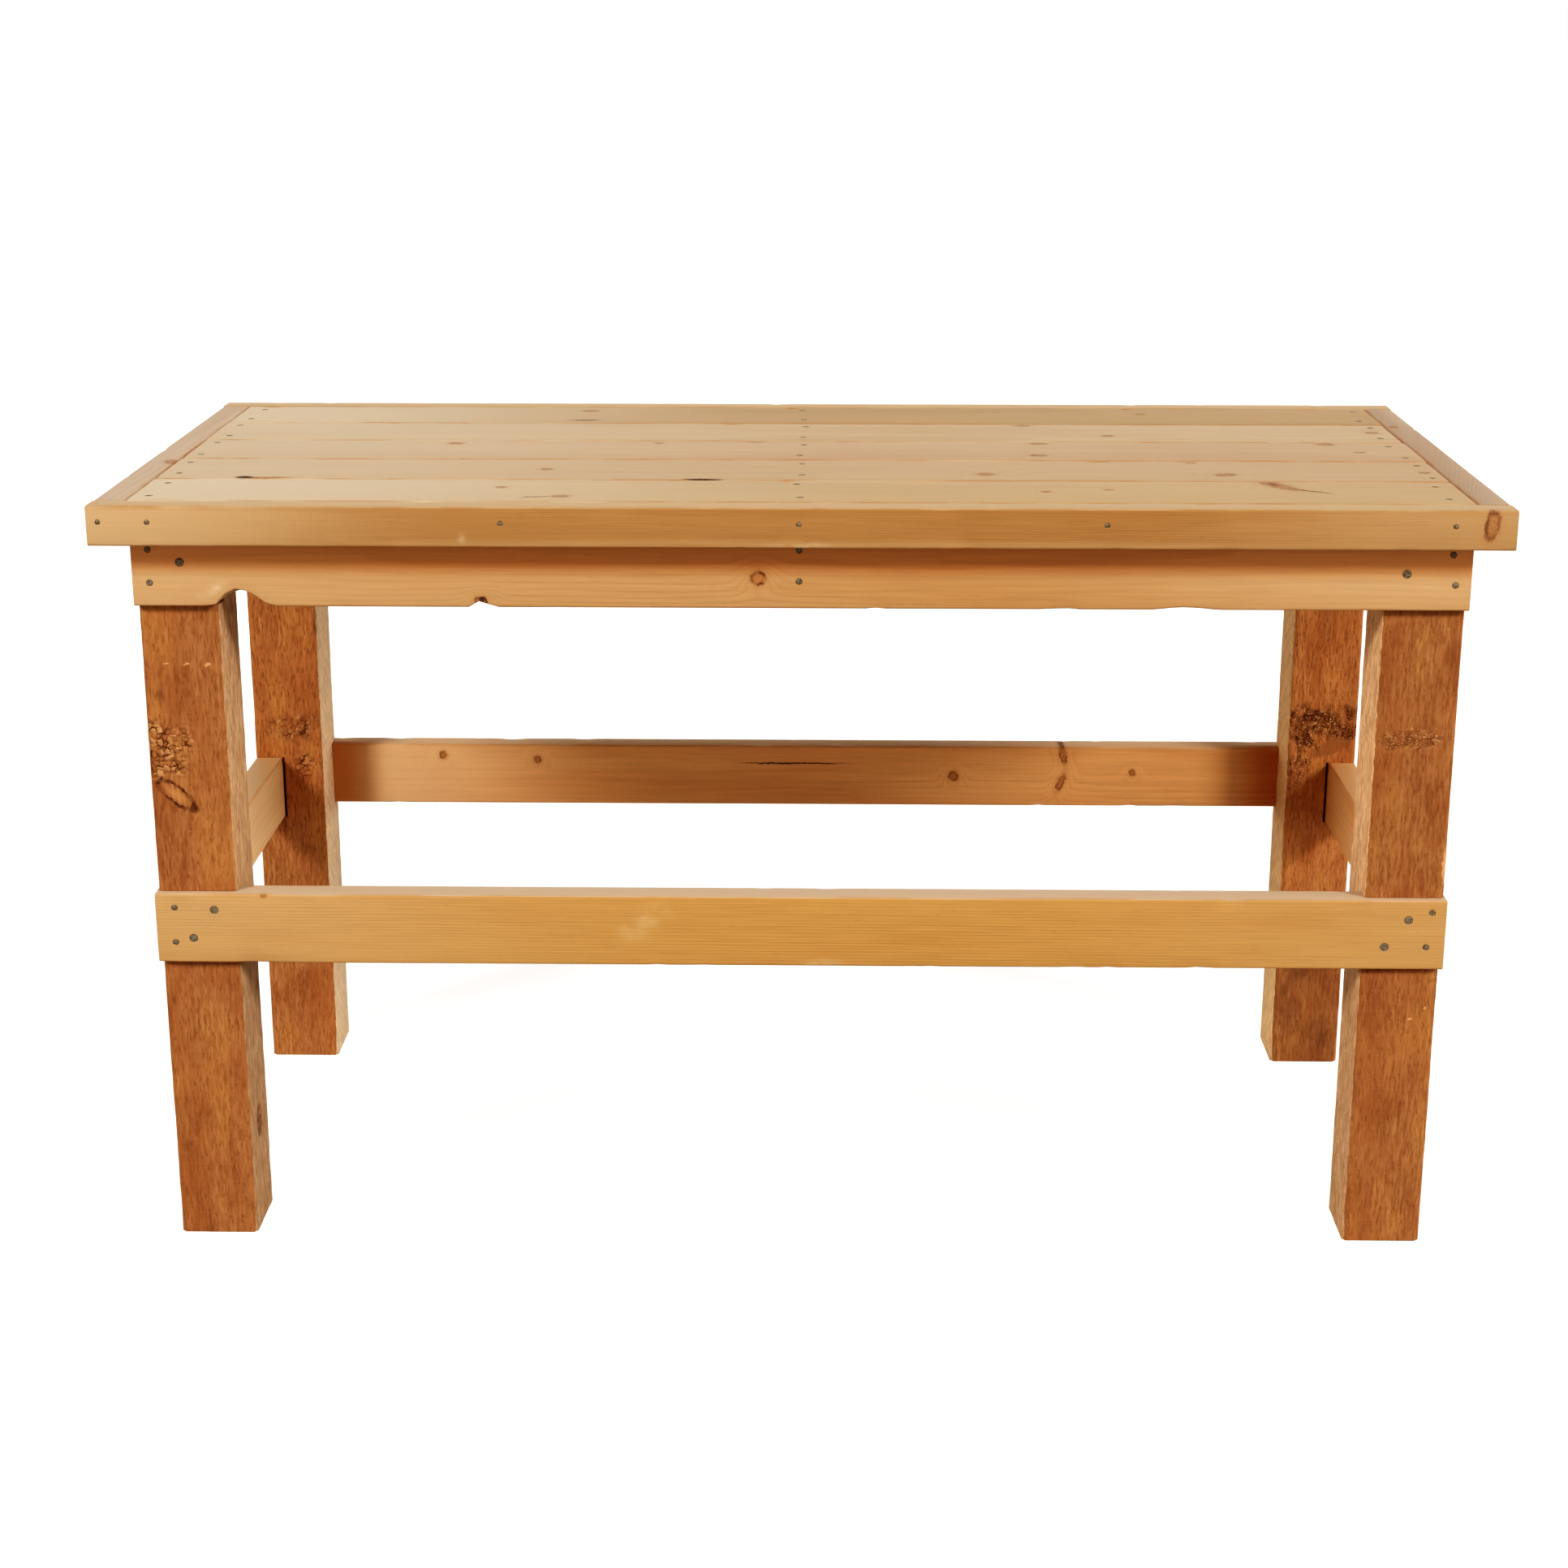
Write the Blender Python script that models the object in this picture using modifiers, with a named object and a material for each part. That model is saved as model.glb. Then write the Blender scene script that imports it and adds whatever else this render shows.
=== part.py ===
"""Nailed softwood work table: a plank top with an edge trim on four rough-sawn posts.

Metres, +Z up. +X runs along the table and -Y is its front. The origin is on the floor under the middle
of the top. Each board and nail is its own solid, and JOINT_GAP parts the pieces that bear on each other.
"""

import math

import bmesh
import bpy

# Overall layout
TOP_HEIGHT = 0.944
FRAME_LENGTH = 1.570  # aprons and long stretchers, end to end
STRETCHER_HEIGHT = 0.369  # from the floor to the underside of the stretchers

# Top: planks along the table, and a trim on edge round them
PLANK_COUNT = 5
PLANK_WIDTH = 0.140
PLANK_THICKNESS = 0.038
PLANK_GAP = 0.0015
PLANK_OVERHANG = 0.001  # past the ends of the aprons
TRIM_THICKNESS = 0.038
TRIM_HEIGHT = 0.0475

# Frame: aprons, end rails, joist and stretchers are cut from one stock
BOARD_THICKNESS = 0.038
BOARD_WIDTH = 0.089
POST_WIDTH = 0.097  # along the table
POST_DEPTH = 0.099  # across the table
POST_INSET = 0.002  # aprons and long stretchers run past the posts by this much

# Edges and joints
HOUSING_DEPTH = 0.027  # how far aprons and long stretchers are let into the posts
JOINT_GAP = 0.0003
EDGE_RADIUS = 0.003
POST_EDGE_RADIUS = 0.002
EDGE_SEGMENTS = 3

# Nails: diameter and thickness of the head, diameter of the shank, and length
SMALL_NAIL = {"name": "small_nail", "head": 0.0072, "cap": 0.0013, "shank": 0.0035, "length": 0.076}
SPIKE = {"name": "spike", "head": 0.0098, "cap": 0.0016, "shank": 0.0042, "length": 0.089}
TRIM_NAIL = {"name": "trim_nail", "head": 0.0054, "cap": 0.0012, "shank": 0.0028, "length": 0.064}
NAIL_POINT = 1.6  # length of the point, in shank diameters
NAIL_SINK = 0.0002  # heads are driven just below the face
NAIL_SIDES = 10
MERGE_DISTANCE = 1e-5  # closes a turned shape on its axis
CUTTER_MARGIN = 0.002  # how far a cutter runs past the face that it opens

# Nails at the ends of a board: kind, share of the post's width in from the end, share of the board's
# width up from the lower edge
APRON_NAILS = {
    "left": ((SMALL_NAIL, 0.21, 0.77), (SPIKE, 0.59, 0.60), (SMALL_NAIL, 0.21, 0.32)),
    "right": ((SMALL_NAIL, 0.24, 0.76), (SPIKE, 0.78, 0.50), (SMALL_NAIL, 0.19, 0.35)),
}
STRETCHER_NAILS = {
    "left": ((SMALL_NAIL, 0.24, 0.80), (SPIKE, 0.74, 0.77), (SPIKE, 0.46, 0.36), (SMALL_NAIL, 0.23, 0.30)),
    "right": ((SMALL_NAIL, 0.18, 0.83), (SPIKE, 0.47, 0.72), (SPIKE, 0.75, 0.33), (SMALL_NAIL, 0.23, 0.33)),
}
JOIST_NAILS = (0.79, 0.37)  # shares of the board's width up from the lower edge
TRIM_NAIL_SHARES = (0.043, 0.291, 0.500, 0.715, 0.957)  # along the front trim, into the first plank
TRIM_CORNER_NAIL = 0.36  # share of the trim's thickness in from its left end, into the side trim

# Scoops in the lower edge of the front apron: distance of the apex from the board's left end, run to the
# left and right of it, and height at the front and rear faces
APRON_SCOOPS = {
    "wane": {"from_end": 0.1215, "left": 0.0265, "right": 0.0390, "front": 0.0215, "rear": 0.0120},
    "knot": {"from_end": 0.4115, "left": 0.0155, "right": 0.0120, "front": 0.0075, "rear": 0.0040},
    "edge": {"from_end": 1.2360, "left": 0.0330, "right": 0.0400, "front": 0.0030, "rear": 0.0012},
}
SCOOP_STEPS = 20
SCOOP_DROP = 0.0005  # the ends of a scoop's cutter lie this far below the edge

# Colours, as 8-bit screen values, with roughness
PLANK_COLOUR = (221, 190, 142)
TRIM_COLOUR = (203, 146, 84)
APRON_COLOUR = (214, 160, 99)
STRETCHER_COLOUR = (215, 162, 86)
HIDDEN_COLOUR = (196, 140, 84)
POST_COLOUR = (172, 100, 45)
NAIL_COLOUR = (112, 108, 98)
PLANED_ROUGHNESS = 0.5
SAWN_ROUGHNESS = 0.85
NAIL_ROUGHNESS = 0.45

# Places that follow from the sizes above
TOP_DEPTH = PLANK_COUNT * PLANK_WIDTH + (PLANK_COUNT - 1) * PLANK_GAP
PLANK_LENGTH = FRAME_LENGTH + 2 * PLANK_OVERHANG
TRIM_LENGTH = PLANK_LENGTH + 2 * (JOINT_GAP + TRIM_THICKNESS)
FRAME_TOP = TOP_HEIGHT - PLANK_THICKNESS - JOINT_GAP
APRON_CLEAR = TOP_DEPTH / 2 - BOARD_THICKNESS - JOINT_GAP  # half the length of what aprons hold
POST_FACE = TOP_DEPTH / 2 - BOARD_THICKNESS + HOUSING_DEPTH  # from the middle to a post's outer face
POST_CLEAR = POST_FACE - POST_DEPTH - JOINT_GAP  # half the length of what posts hold
POST_SPAN = FRAME_LENGTH - 2 * POST_INSET  # over the posts' outer sides
FRONT_REAR = (("front", -1), ("rear", 1))
LEFT_RIGHT = (("left", -1), ("right", 1))


def clear_scene():
    for obj in list(bpy.data.objects):
        bpy.data.objects.remove(obj, do_unlink=True)


def new_collection(name, parent):
    collection = bpy.data.collections.new(name)
    parent.children.link(collection)
    return collection


def linear(channel):
    share = channel / 255
    return share / 12.92 if share <= 0.04045 else ((share + 0.055) / 1.055) ** 2.4


def material(name, colour, roughness, metallic=0.0):
    made = bpy.data.materials.new(name)
    made.use_nodes = True
    shader = made.node_tree.nodes["Principled BSDF"]
    shader.inputs["Base Color"].default_value = (*map(linear, colour), 1.0)
    shader.inputs["Roughness"].default_value = roughness
    shader.inputs["Metallic"].default_value = metallic
    return made


def add_part(name, mesh, location, finish):
    obj = bpy.data.objects.new(name, mesh)
    obj.location = location
    obj.parent = root
    if not mesh.materials:
        mesh.materials.append(finish)
    parts.objects.link(obj)
    return obj


def board(name, size, centre, colour, radius=EDGE_RADIUS, roughness=PLANED_ROUGHNESS):
    """A length of lumber whose four long edges are eased and whose ends are sawn square."""
    along = max(range(3), key=lambda axis: size[axis])
    bm = bmesh.new()
    bmesh.ops.create_cube(bm, size=1.0)
    bmesh.ops.scale(bm, vec=size, verts=bm.verts)
    weight = bm.edges.layers.float.new("bevel_weight_edge")
    for edge in bm.edges:
        span = edge.verts[0].co - edge.verts[1].co
        edge[weight] = float(abs(span[along]) > size[along] / 2)
    mesh = bpy.data.meshes.new(name)
    bm.to_mesh(mesh)
    bm.free()
    obj = add_part(name, mesh, centre, material(name, colour, roughness))
    ease = obj.modifiers.new("eased_edges", "BEVEL")
    ease.limit_method = "WEIGHT"
    ease.width = radius
    ease.segments = EDGE_SEGMENTS
    return obj


def turned(name, profile):
    """A mesh of one open line in the XZ plane, to be turned about Z by a Screw modifier."""
    mesh = bpy.data.meshes.new(name)
    edges = [(i, i + 1) for i in range(len(profile) - 1)]
    mesh.from_pydata([(x, 0.0, z) for x, z in profile], edges, [])
    return mesh


def turn(obj):
    screw = obj.modifiers.new("turned", "SCREW")
    screw.steps = NAIL_SIDES
    screw.render_steps = NAIL_SIDES
    screw.use_merge_vertices = True
    screw.merge_threshold = MERGE_DISTANCE


def nail_profile(nail, clearance=0.0, proud=0.0):
    """Half a nail's section from the middle of its head to its point, wider all round by a clearance."""
    head = nail["head"] / 2 + clearance
    shank = nail["shank"] / 2 + clearance
    under_head = -NAIL_SINK - nail["cap"] - clearance
    point = nail["shank"] * NAIL_POINT
    face = proud if proud else -NAIL_SINK
    return (
        (0.0, face),
        (head, face),
        (head, under_head),
        (shank, under_head),
        (shank, -nail["length"] + point),
        (0.0, -nail["length"] - 2 * clearance),
    )


def nail_mesh(nail):
    """The profiles of a kind of nail and of its hole, which all nails of that kind share."""
    name = nail["name"]
    hole_name = name + "_hole"
    if name not in nail_meshes:
        nail_meshes[name] = turned(name, nail_profile(nail))
        nail_meshes[hole_name] = turned(hole_name, nail_profile(nail, JOINT_GAP, CUTTER_MARGIN))
    return nail_meshes[name], nail_meshes[hole_name]


def drive_nails(owner, y, facing, places):
    """Nails through a board's face at y, and a collection of the holes that they need."""
    holes = new_collection(f"{owner}_nail_holes", cutters)
    for number, (nail, x, z) in enumerate(places, 1):
        shape, hole_shape = nail_mesh(nail)
        made = add_part(f"{owner}_nail_{number}", shape, (x, y, z), nail_finish)
        hole = bpy.data.objects.new(f"{owner}_nail_hole_{number}", hole_shape)
        hole.location = (x, y, z)
        hole.parent = root
        hole.hide_render = True
        hole.display_type = "WIRE"
        holes.objects.link(hole)
        for obj in (made, hole):
            obj.rotation_euler.x = -facing * math.pi / 2
            turn(obj)
    return holes


def cut(obj, holes):
    boolean = obj.modifiers.new(holes.name, "BOOLEAN")
    boolean.operation = "DIFFERENCE"
    boolean.solver = "EXACT"
    if isinstance(holes, bpy.types.Collection):
        boolean.operand_type = "COLLECTION"
        boolean.collection = holes
    else:
        boolean.object = holes


def end_nails(pattern, lower_edge):
    """Places of the nails that hold a long board to the posts at its two ends."""
    for end, sign in LEFT_RIGHT:
        for nail, across, up in pattern[end]:
            x = sign * (FRAME_LENGTH / 2 - across * POST_WIDTH)
            yield nail, x, lower_edge + up * BOARD_WIDTH


def make_planks():
    """The top's planks, from the front one to the rear one."""
    planks = []
    for number in range(PLANK_COUNT):
        y = -TOP_DEPTH / 2 + PLANK_WIDTH / 2 + number * (PLANK_WIDTH + PLANK_GAP)
        centre = (0.0, y, TOP_HEIGHT - PLANK_THICKNESS / 2)
        size = (PLANK_LENGTH, PLANK_WIDTH, PLANK_THICKNESS)
        planks.append(board(f"plank_{number + 1}", size, centre, PLANK_COLOUR))
    return planks


def make_trim():
    trims = {}
    z = TOP_HEIGHT - TRIM_HEIGHT / 2
    out = JOINT_GAP + TRIM_THICKNESS / 2
    for side, sign in FRONT_REAR:
        centre = (0.0, sign * (TOP_DEPTH / 2 + out), z)
        size = (TRIM_LENGTH, TRIM_THICKNESS, TRIM_HEIGHT)
        trims[side] = board(f"trim_{side}", size, centre, TRIM_COLOUR)
    for side, sign in LEFT_RIGHT:
        centre = (sign * (PLANK_LENGTH / 2 + out), 0.0, z)
        size = (TRIM_THICKNESS, TOP_DEPTH, TRIM_HEIGHT)
        trims[side] = board(f"trim_{side}", size, centre, TRIM_COLOUR)
    return trims


def make_posts():
    posts = {}
    for side, across in FRONT_REAR:
        for end, along in LEFT_RIGHT:
            x = along * (POST_SPAN - POST_WIDTH) / 2
            y = across * (POST_FACE - POST_DEPTH / 2)
            size = (POST_WIDTH, POST_DEPTH, FRAME_TOP)
            centre = (x, y, FRAME_TOP / 2)
            name = f"post_{side}_{end}"
            posts[side, end] = board(name, size, centre, POST_COLOUR, POST_EDGE_RADIUS, SAWN_ROUGHNESS)
    return posts


def make_long_boards(kind, lower_edge, colour):
    """A board let into the front posts and one let into the rear posts."""
    made = {}
    for side, sign in FRONT_REAR:
        centre = (0.0, sign * (TOP_DEPTH - BOARD_THICKNESS) / 2, lower_edge + BOARD_WIDTH / 2)
        size = (FRAME_LENGTH, BOARD_THICKNESS, BOARD_WIDTH)
        made[side] = board(f"{kind}_{side}", size, centre, colour)
    return made


def make_cross_boards(kind, lower_edge, colour):
    """A board at each end, between the posts and flush with their outer sides."""
    for end, sign in LEFT_RIGHT:
        centre = (sign * (POST_SPAN - BOARD_THICKNESS) / 2, 0.0, lower_edge + BOARD_WIDTH / 2)
        size = (BOARD_THICKNESS, 2 * POST_CLEAR, BOARD_WIDTH)
        board(f"{kind}_{end}", size, centre, colour)


def make_joist(lower_edge):
    """A board under the middle of the top, between the aprons."""
    size = (BOARD_THICKNESS, 2 * APRON_CLEAR, BOARD_WIDTH)
    return board("joist_middle", size, (0.0, 0.0, lower_edge + BOARD_WIDTH / 2), HIDDEN_COLOUR)


def add_cutter(name, mesh, location):
    cutter = bpy.data.objects.new(name, mesh)
    cutter.location = location
    cutter.parent = root
    cutter.hide_render = True
    cutter.display_type = "WIRE"
    cutters.objects.link(cutter)
    return cutter


def notch_posts(posts, boards):
    """Notches, through from side to side, that the long boards lie in."""
    for side, held in boards.items():
        name = f"{held.name}_notch"
        mesh = held.data.copy()
        mesh.name = name
        for vert in mesh.vertices:
            for axis in range(3):
                vert.co[axis] += math.copysign(JOINT_GAP, vert.co[axis])
        cutter = add_cutter(name, mesh, held.location)
        for end, _ in LEFT_RIGHT:
            cut(posts[side, end], cutter)


def scoop_mesh(name, scoop):
    """A solid whose top is arched along the board and falls from the board's front to its rear face."""
    bm = bmesh.new()
    bmesh.ops.create_grid(bm, x_segments=SCOOP_STEPS, y_segments=1, size=1.0)
    lower = bmesh.ops.extrude_face_region(bm, geom=bm.faces[:])["geom"]
    lower = {element for element in lower if isinstance(element, bmesh.types.BMVert)}
    for vert in bm.verts:
        share, side = vert.co.x, vert.co.y
        height = scoop["front"] if side < 0 else scoop["rear"]
        vert.co.x = share * scoop["left" if share < 0 else "right"]
        vert.co.y = side * (BOARD_THICKNESS / 2 + CUTTER_MARGIN)
        vert.co.z = height * math.cos(share * math.pi / 2) - SCOOP_DROP
        if vert in lower:
            vert.co.z = -CUTTER_MARGIN
    bmesh.ops.recalc_face_normals(bm, faces=bm.faces)
    mesh = bpy.data.meshes.new(name)
    bm.to_mesh(mesh)
    bm.free()
    return mesh


def scoop_apron(apron, lower_edge):
    """Scoops where the sawn edge ran out into wane and through a loose knot."""
    for name, scoop in APRON_SCOOPS.items():
        place = (-FRAME_LENGTH / 2 + scoop["from_end"], apron.location.y, lower_edge)
        cut(apron, add_cutter(f"{name}_scoop", scoop_mesh(f"{name}_scoop", scoop), place))


def nail_frame(boards, pattern, lower_edge, posts, joist=None):
    """Nails each long board to its two posts and, if there is one, to the joist's end."""
    for side, sign in FRONT_REAR:
        places = list(end_nails(pattern, lower_edge))
        if joist:
            places += [(SMALL_NAIL, 0.0, lower_edge + up * BOARD_WIDTH) for up in JOIST_NAILS]
        held = boards[side]
        holes = drive_nails(held.name, sign * TOP_DEPTH / 2, sign, places)
        for obj in (held, posts[side, "left"], posts[side, "right"], joist):
            if obj:
                cut(obj, holes)


def nail_front_trim(trims, first_plank):
    """Nails through the front trim into the first plank's edge, and one into the left trim's end."""
    face = -TOP_DEPTH / 2 - JOINT_GAP - TRIM_THICKNESS
    z = TOP_HEIGHT - PLANK_THICKNESS / 2
    left = -TRIM_LENGTH / 2
    xs = [left + TRIM_CORNER_NAIL * TRIM_THICKNESS]
    xs += [left + share * TRIM_LENGTH for share in TRIM_NAIL_SHARES]
    holes = drive_nails("trim_front", face, -1, [(TRIM_NAIL, x, z) for x in xs])
    for obj in (trims["front"], first_plank, trims["left"]):
        cut(obj, holes)


def build():
    apron_bottom = FRAME_TOP - BOARD_WIDTH
    planks = make_planks()
    trims = make_trim()
    posts = make_posts()
    aprons = make_long_boards("apron", apron_bottom, APRON_COLOUR)
    stretchers = make_long_boards("stretcher", STRETCHER_HEIGHT, STRETCHER_COLOUR)
    make_cross_boards("end_rail", apron_bottom, HIDDEN_COLOUR)
    make_cross_boards("stretcher", STRETCHER_HEIGHT, STRETCHER_COLOUR)
    joist = make_joist(apron_bottom)
    notch_posts(posts, aprons)
    notch_posts(posts, stretchers)
    scoop_apron(aprons["front"], apron_bottom)
    nail_frame(aprons, APRON_NAILS, apron_bottom, posts, joist)
    nail_frame(stretchers, STRETCHER_NAILS, STRETCHER_HEIGHT, posts)
    nail_front_trim(trims, planks[0])


clear_scene()
parts = new_collection("work_table", bpy.context.scene.collection)
cutters = new_collection("cutters", bpy.context.scene.collection)
cutters.hide_render = True
root = bpy.data.objects.new("work_table_origin", None)
parts.objects.link(root)
nail_meshes = {}
nail_finish = material("nail_steel", NAIL_COLOUR, NAIL_ROUGHNESS, 1.0)
build()
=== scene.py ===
"""Looks of the nailed work table: worn softwood boards, rough-sawn posts and driven nails."""

import math
import random

import bmesh
import bpy
from mathutils import Matrix, Vector, noise


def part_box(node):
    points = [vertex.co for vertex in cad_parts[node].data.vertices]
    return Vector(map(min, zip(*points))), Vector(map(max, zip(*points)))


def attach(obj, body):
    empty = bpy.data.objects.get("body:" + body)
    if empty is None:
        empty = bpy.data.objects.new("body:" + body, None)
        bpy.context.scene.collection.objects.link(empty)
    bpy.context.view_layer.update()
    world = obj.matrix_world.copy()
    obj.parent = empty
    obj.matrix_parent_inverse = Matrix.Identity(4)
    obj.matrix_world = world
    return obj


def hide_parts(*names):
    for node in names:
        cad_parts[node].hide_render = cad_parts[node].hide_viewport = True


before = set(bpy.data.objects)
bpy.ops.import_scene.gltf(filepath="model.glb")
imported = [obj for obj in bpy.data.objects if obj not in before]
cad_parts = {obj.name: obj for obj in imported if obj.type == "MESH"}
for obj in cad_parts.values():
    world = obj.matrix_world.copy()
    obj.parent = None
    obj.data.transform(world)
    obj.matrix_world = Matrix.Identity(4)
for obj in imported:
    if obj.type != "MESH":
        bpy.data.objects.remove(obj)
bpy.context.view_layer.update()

# Camera, fitted to the photograph
CAMERA_PLACE = (0.036, -3.457, 1.538)
CAMERA_PITCH = 16.78  # degrees down
CAMERA_YAW = 0.99  # degrees to the left
CAMERA_LENS = 62.12  # mm, on a sensor of SENSOR_WIDTH
SENSOR_WIDTH = 36.0

# Light: two soft keys in front, left and right, a weak low one at the right, a bright backdrop low behind,
# and an even fill
KEYS = (  # degrees to the right of the front, degrees up, strength
    (-43.0, 34.0, 2.04),
    (51.0, 31.4, 2.13),
    (84.0, 10.0, 0.8),
)
KEY_ANGLE = 15.0  # degrees across, which sets how soft the shadows are
FILL_STRENGTH = 0.12
WALL_STRENGTH = 0.75  # of the pale walls all round, low down
WALL_COLOUR = (255, 240, 222)
WALL_TOP = (0.30, 0.60)  # where they fade into the fill
BACKDROP_STRENGTH = 1.9
BACKDROP_SIDE = (-0.15, 0.4)  # how far to the rear it begins and is full
BACKDROP_TOP = (0.12, 0.48)
BACKGROUND = 1.0  # what the camera sees behind the floor
FLOOR_RADIUS = 60.0
FLOOR_SIDES = 96
FLOOR_COLOUR = (184, 185, 187)
FLOOR_ROUGHNESS = 0.7
FLOOR_GLOW = 0.74  # lifts the floor to the paleness of the backdrop
# Contrast of the picture: brightness in, brightness out, on the curve of all three colours
COMBINED_CURVE = 3
TONE_CURVE = ((0.05, 0.007), (0.12, 0.04), (0.25, 0.15), (0.45, 0.374), (0.7, 0.664))

# Shapes of planed and rough-sawn lumber
PLANK_RADIUS = 0.0018
PLANED = {"radius": 0.003, "along": 0.012, "across": 0.020, "arc": 4}
SAWN = {"radius": 0.0025, "along": 0.0026, "across": 0.0026, "arc": 3}
END_BEVEL = 0.0005
END_CUT = (0.0004, 0.0028)  # how much the ends of the planks fall short of the solid's
END_REACH = 0.03  # length over which an end takes that up
SMOOTH_ANGLE = math.radians(35.0)
PLANED_RELIEF = {"edge": 0.0002, "dent": 0.0035, "wave": 0.00012}
SAWN_RELIEF = {
    "level": 0.0005, "wave": 0.0006, "ripple": 0.0004, "corner": 0.0006, "fray": 0.0011, "torn": 0.0030,
    "foot": 0.003, "foot_fray": 0.004,
}
FOOT_REACH = 0.045  # height over which a post's foot is worn

# Noise, in waves per metre along a board and across it
PLANED_WAVES = {"dent": (30.0, 60.0), "wave": (3.0, 18.0)}
END_WAVES = 22.0
SAWN_WAVES = {"wave": (7.0, 5.0), "ripple": (45.0, 130.0), "fray": (90.0, 25.0)}
BLOTCH_WAVES = 48.0
LUMP_WAVES = (105.0, 240.0)
GRAIN = {
    "sway": (1.4, 6.0), "ring": (5.0, 60.0), "fade": (3.0, 30.0), "broad": (1.8, 13.0),
    "fibre": (10.0, 380.0), "fleck": (55.0, 700.0), "worn": (14.0, 40.0),
    "smear": (40.0, 70.0), "ragged": (160.0, 160.0), "broken": (90.0, 90.0),
}
SAWN_GRAIN = {
    "dash": (95.0, 360.0), "thread": (45.0, 300.0), "streak": (16.0, 200.0),
    "broad": (5.0, 16.0), "blotch": (10.0, 24.0), "saw": (230.0, 14.0),
    "tuft": (420.0, 60.0), "band": (75.0, 20.0), "fleck": (240.0, 520.0),
    "mottle": (45.0, 90.0), "ragged": (150.0, 150.0), "broken": (130.0, 130.0),
    "chip": (95.0, 95.0), "deep": (90.0, 90.0),
}
STEEL_GRAIN = {"stain": (420.0, 420.0), "blotch": (37.0, 37.0)}
# How far each further board's noise is moved on
SEED_STEPS = {
    "planed": (1.7, 0.9, 0.4), "planed_shape": (3.1, 1.9, 0.7),
    "sawn": (1.3, 0.7, 0.5), "sawn_shape": (2.3, 1.1, 1.9),
}

# Wood and steel. Lengths are in metres, and a bump is its strength and its height.
ENDLESS = 1000.0  # depth of a mark that goes right through
RING_JITTER = 0.7  # of a ring
KNOT_SWIRL = 3.2  # rings that bend past a knot
KNOT_FADE = 0.16  # how fast they straighten
EYE_RINGS = 17.0  # how close the rings in a knot are
RAGGED_REACH = (0.006, 0.004, 0.0)  # how far the outlines of knots and stains wander
EDGE_WEAR = 0.006
END_GRAIN = (0.0036, 0.0032)  # from the end of a board, where the end's colour begins and is full
END_SHARE = 0.55
BAND_WAVE = 0.012
BAND_REACH = (0.30, 0.12)  # of the width, how far below the middle a washed band is full and ends
ROUGH_SPREAD = (-0.06, 0.10)
PLANED_BUMP = (0.25, 0.0006)
SAW_SLANT = -40.0  # degrees
SAWN_REACH = (0.008, 0.006, 0.0)
CHIP_REACH = (0.007, 0.007, 0.007)
CORNER_WANDER = 0.12  # of a post's half width, how far a face's colour wanders round its corners
CORNER_BLEND = 0.015
INNER_BLEND = 0.02
SHOWN_DEPTH = (0.010, 0.006)  # how deep the marks on a post's front reach
SAWN_ROUGH = (0.78, 0.92)
SAWN_SPECULAR = 0.3
SAWN_BUMP = (0.8, 0.0016)
STEEL = {"bright": (150, 138, 118), "dull": (106, 96, 80), "rust": (126, 102, 74)}
STEEL_ROUGH = (0.40, 0.62)
STEEL_METAL = 0.35
STEEL_BUMP = (0.3, 0.0003)
WHITE = (1.0, 1.0, 1.0, 1.0)

END_SEED = 3  # of the random draws for the planks' ends
TOP_NAIL_SEED = 7

# Nails
NAIL_SIDES = 20
HEAD_CAP = 0.0014
HEAD_DOME = 0.00025
SHANK_SHARE = 0.45  # shank diameter over head diameter
NAIL_SINK = 0.0003
RECESS_RIM = 0.0007  # crushed wood round a head
RECESS_DEPTH = 0.0012
NOTCH_ROOM = 0.0006  # what the posts' notches are wider than the boards in them
SLOT_WIDTH = 0.0028  # dark slot beside the end of each side stretcher
SLOT_DEPTH = 0.012
TOP_NAIL = {"head": 0.0092, "length": 0.076}
TRIM_NAIL = {"head": 0.0054, "length": 0.064}
TOP_NAIL_SHARES = (0.24, 0.83)  # of a plank's width from its front edge
TOP_NAIL_JITTER = 0.005
SIDE_TRIM_NAILS = (-0.28, -0.02, 0.25)  # along the side trims, from their middle
CAD_NAILED = ("apron_front", "apron_rear", "stretcher_front", "stretcher_rear", "trim_front")

# Scoops in the front apron's lower edge, as in the solid: apex from the left end, runs and heights
APRON_SCOOPS = (
    {"from_end": 0.1215, "left": 0.0265, "right": 0.0390, "front": 0.0215, "rear": 0.0120},
    {"from_end": 0.4115, "left": 0.0155, "right": 0.0120, "front": 0.0075, "rear": 0.0040},
    {"from_end": 1.2360, "left": 0.0330, "right": 0.0400, "front": 0.0030, "rear": 0.0012},
)
SCOOP_REACH = 0.045  # how far up the board's face follows the edge


def linear(channel):
    share = channel / 255
    return share / 12.92 if share <= 0.04045 else ((share + 0.055) / 1.055) ** 2.4


def colour(screen):
    return (*map(linear, screen), 1.0)


def offset_of(seed, kind):
    """Where a board's own noise begins."""
    return Vector([seed * step for step in SEED_STEPS[kind]])


def waves(point, frequency, offset):
    """Noise at a point of a board."""
    along, across = frequency
    return noise.noise(Vector((point.x * along, point.y * across, point.z * across)) + offset)


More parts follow.
